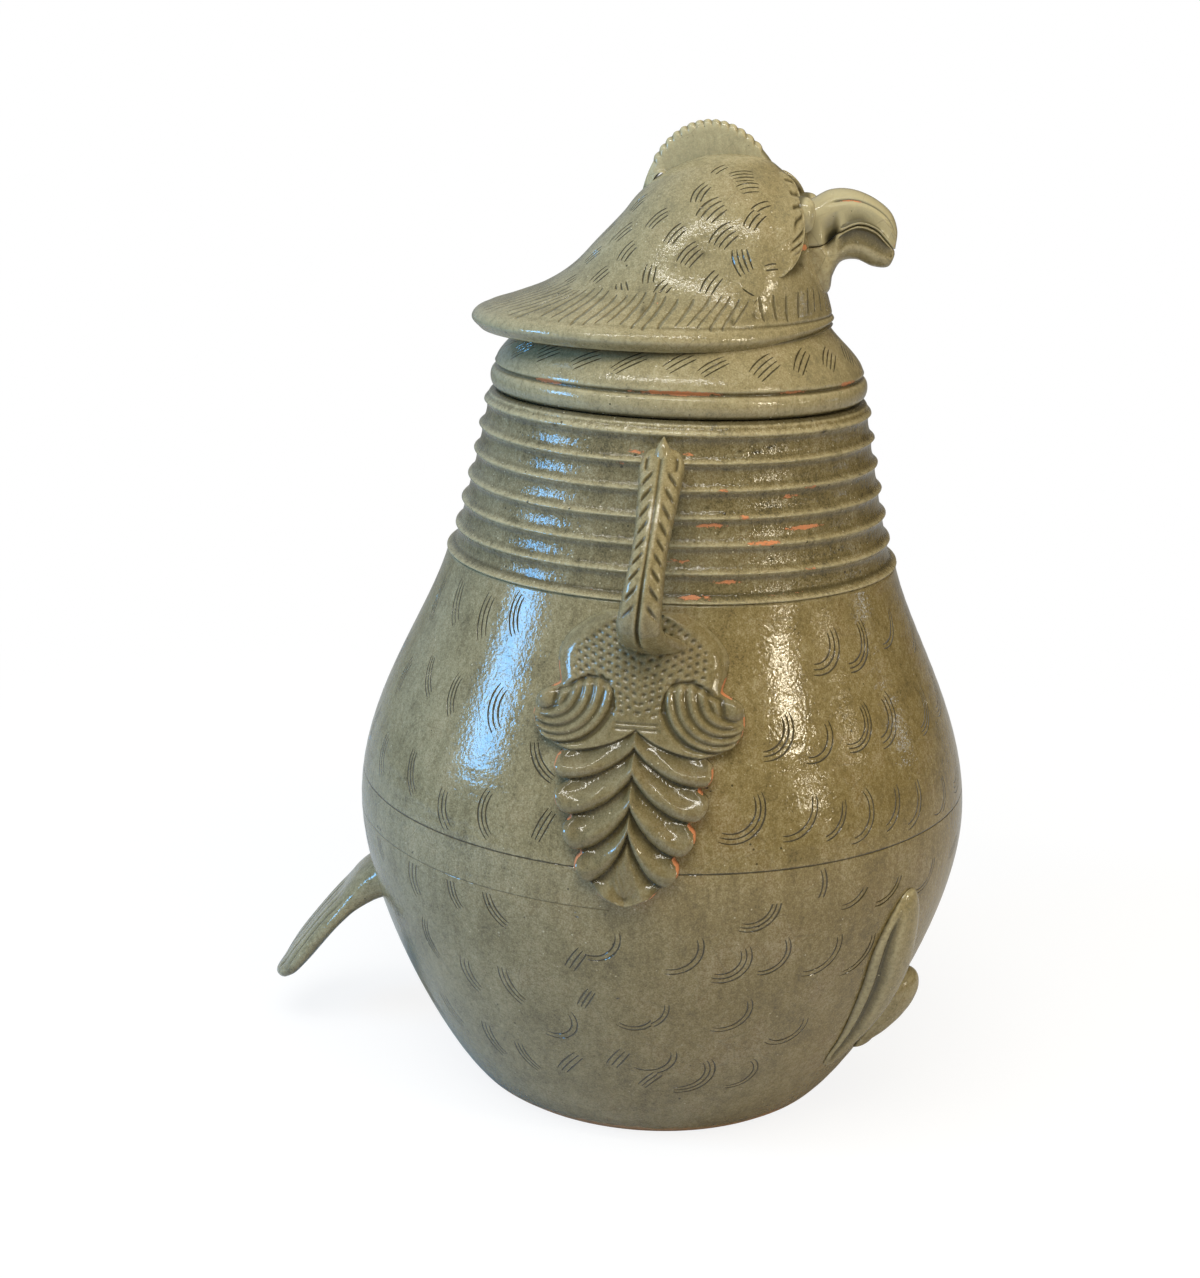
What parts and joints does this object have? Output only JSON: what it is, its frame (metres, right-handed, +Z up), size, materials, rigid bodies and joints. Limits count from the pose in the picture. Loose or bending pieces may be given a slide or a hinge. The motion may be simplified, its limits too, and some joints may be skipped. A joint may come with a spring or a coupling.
{
  "type": "lidded jar",
  "caption": "Ribbed pear-shaped stoneware jar with an owl-head lid that lifts off, two leaf handles over moulded plates, a paddle tail and low feet.",
  "frame": {"origin": "centre of the flat base on the ground", "axes": "+Z up the jar's axis; the bird faces -Y and its right side is -X"},
  "size_m": [0.2482, 0.2777, 0.3733],
  "materials": {
    "celadon_glaze": "glossy",
    "pale_glaze": "glossy"
  },
  "bodies": {
    "jar": {"body_lower": "celadon_glaze", "body_upper": "celadon_glaze", "neck_ribbed": "celadon_glaze", "plate_right": "celadon_glaze", "plate_left": "celadon_glaze", "handle_right": "celadon_glaze", "handle_left": "celadon_glaze", "handle_tip_right": "celadon_glaze", "handle_tip_left": "celadon_glaze", "leg_right": "celadon_glaze", "leg_left": "celadon_glaze", "toe_right": "celadon_glaze", "toe_left": "celadon_glaze", "tail": "celadon_glaze"},
    "lid": {"lid_collar": "celadon_glaze", "head_hood": "celadon_glaze", "crest": "pale_glaze", "face_ruff_right": "celadon_glaze", "face_ruff_left": "celadon_glaze", "eye_right": "celadon_glaze", "eye_left": "celadon_glaze", "beak_upper": "celadon_glaze", "beak_lower": "celadon_glaze"}
  },
  "joints": [
    {"name": "lid_lift", "type": "slide", "parent": "jar", "child": "lid", "axis": [0, 0, 1], "range_m": [0, 0.15]}
  ]
}
